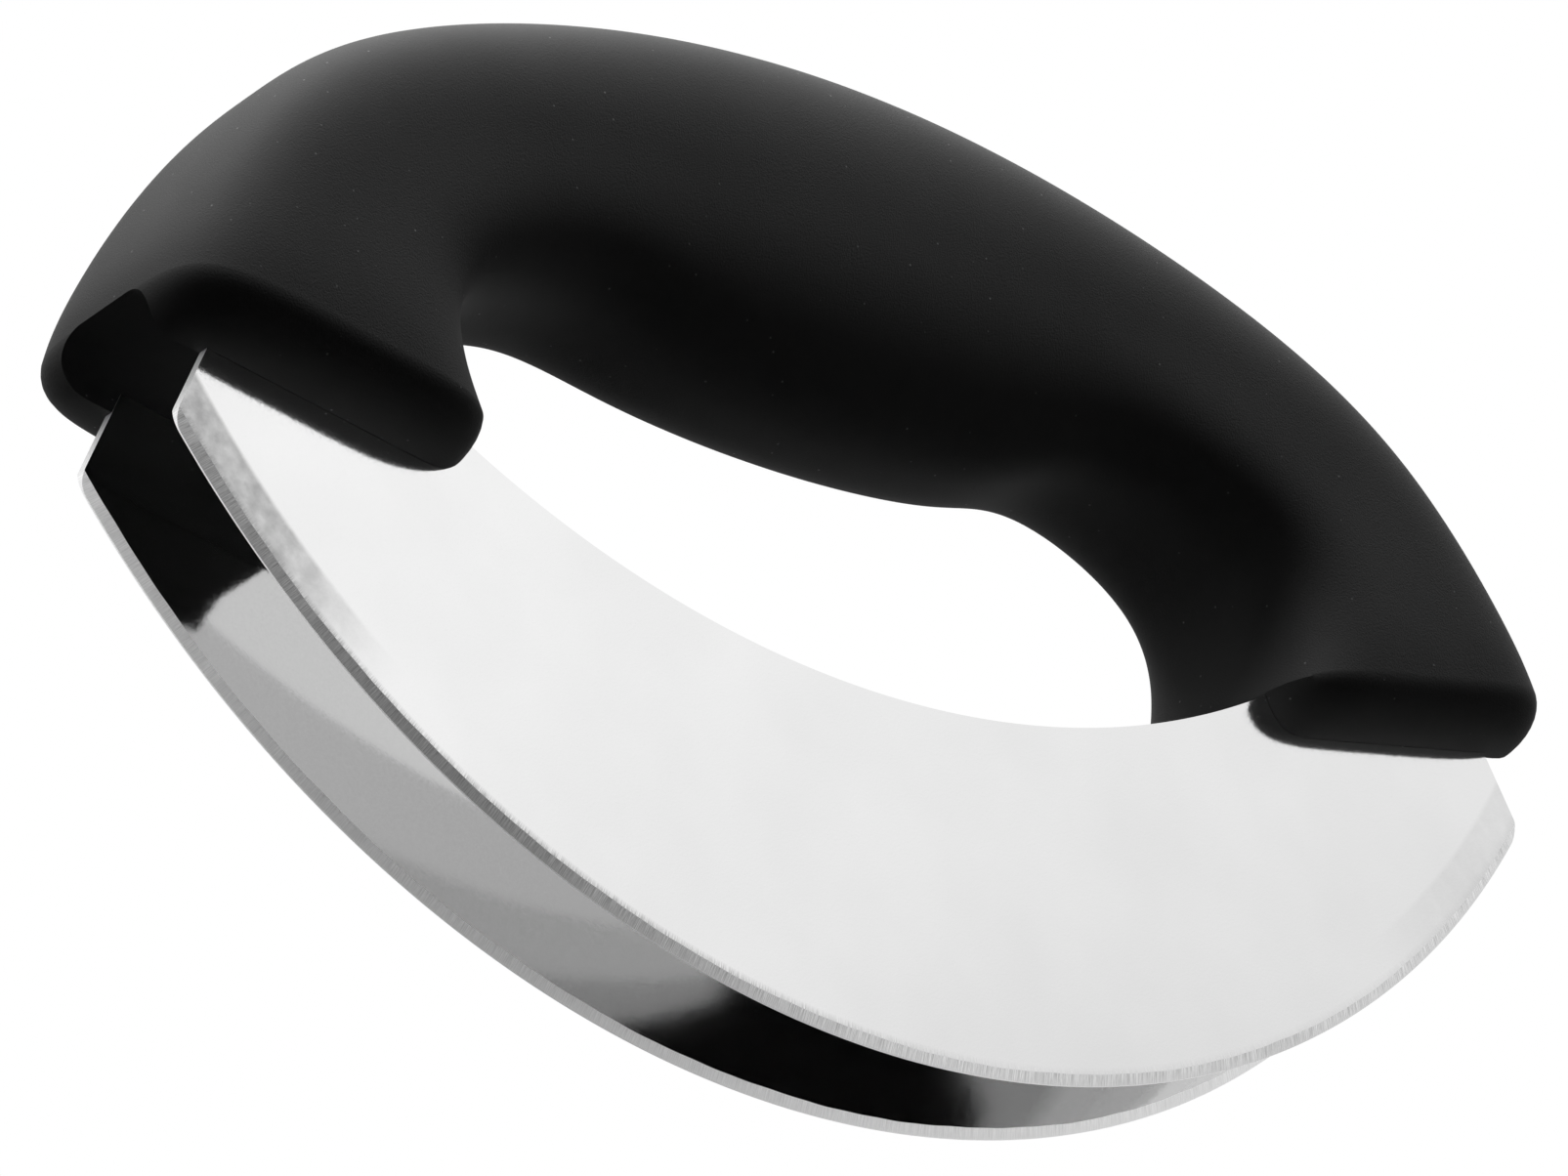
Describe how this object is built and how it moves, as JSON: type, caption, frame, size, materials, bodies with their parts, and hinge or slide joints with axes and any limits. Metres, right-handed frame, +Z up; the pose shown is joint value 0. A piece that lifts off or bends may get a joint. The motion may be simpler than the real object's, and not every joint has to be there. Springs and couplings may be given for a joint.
{
  "type": "double mezzaluna",
  "caption": "Rocking herb chopper: parallel crescent steel blades under an arched soft-skinned handle with an open hand space, held in one hand.",
  "frame": {"origin": "on the board, midway between the two cutting edges, where they touch down", "axes": "+X along the blades, +Y from the near blade to the far one, +Z up to the grip"},
  "size_m": [0.1838, 0.032, 0.1156],
  "materials": {
    "blade_steel": "stainless sheet, satin outside and polished inside, edge ground with fine cross lines",
    "core_plastic": "moulded, matte black",
    "soft_skin": "moulded soft-touch skin, matte black with a very fine grain",
    "pin_steel": "drawn steel rod"
  },
  "bodies": {
    "root": {"near_blade": "blade_steel", "far_blade": "blade_steel", "handle_core": "core_plastic", "handle_skin": "soft_skin", "left_outer_pin": "pin_steel", "left_inner_pin": "pin_steel", "right_inner_pin": "pin_steel", "right_outer_pin": "pin_steel"}
  },
  "joints": []
}
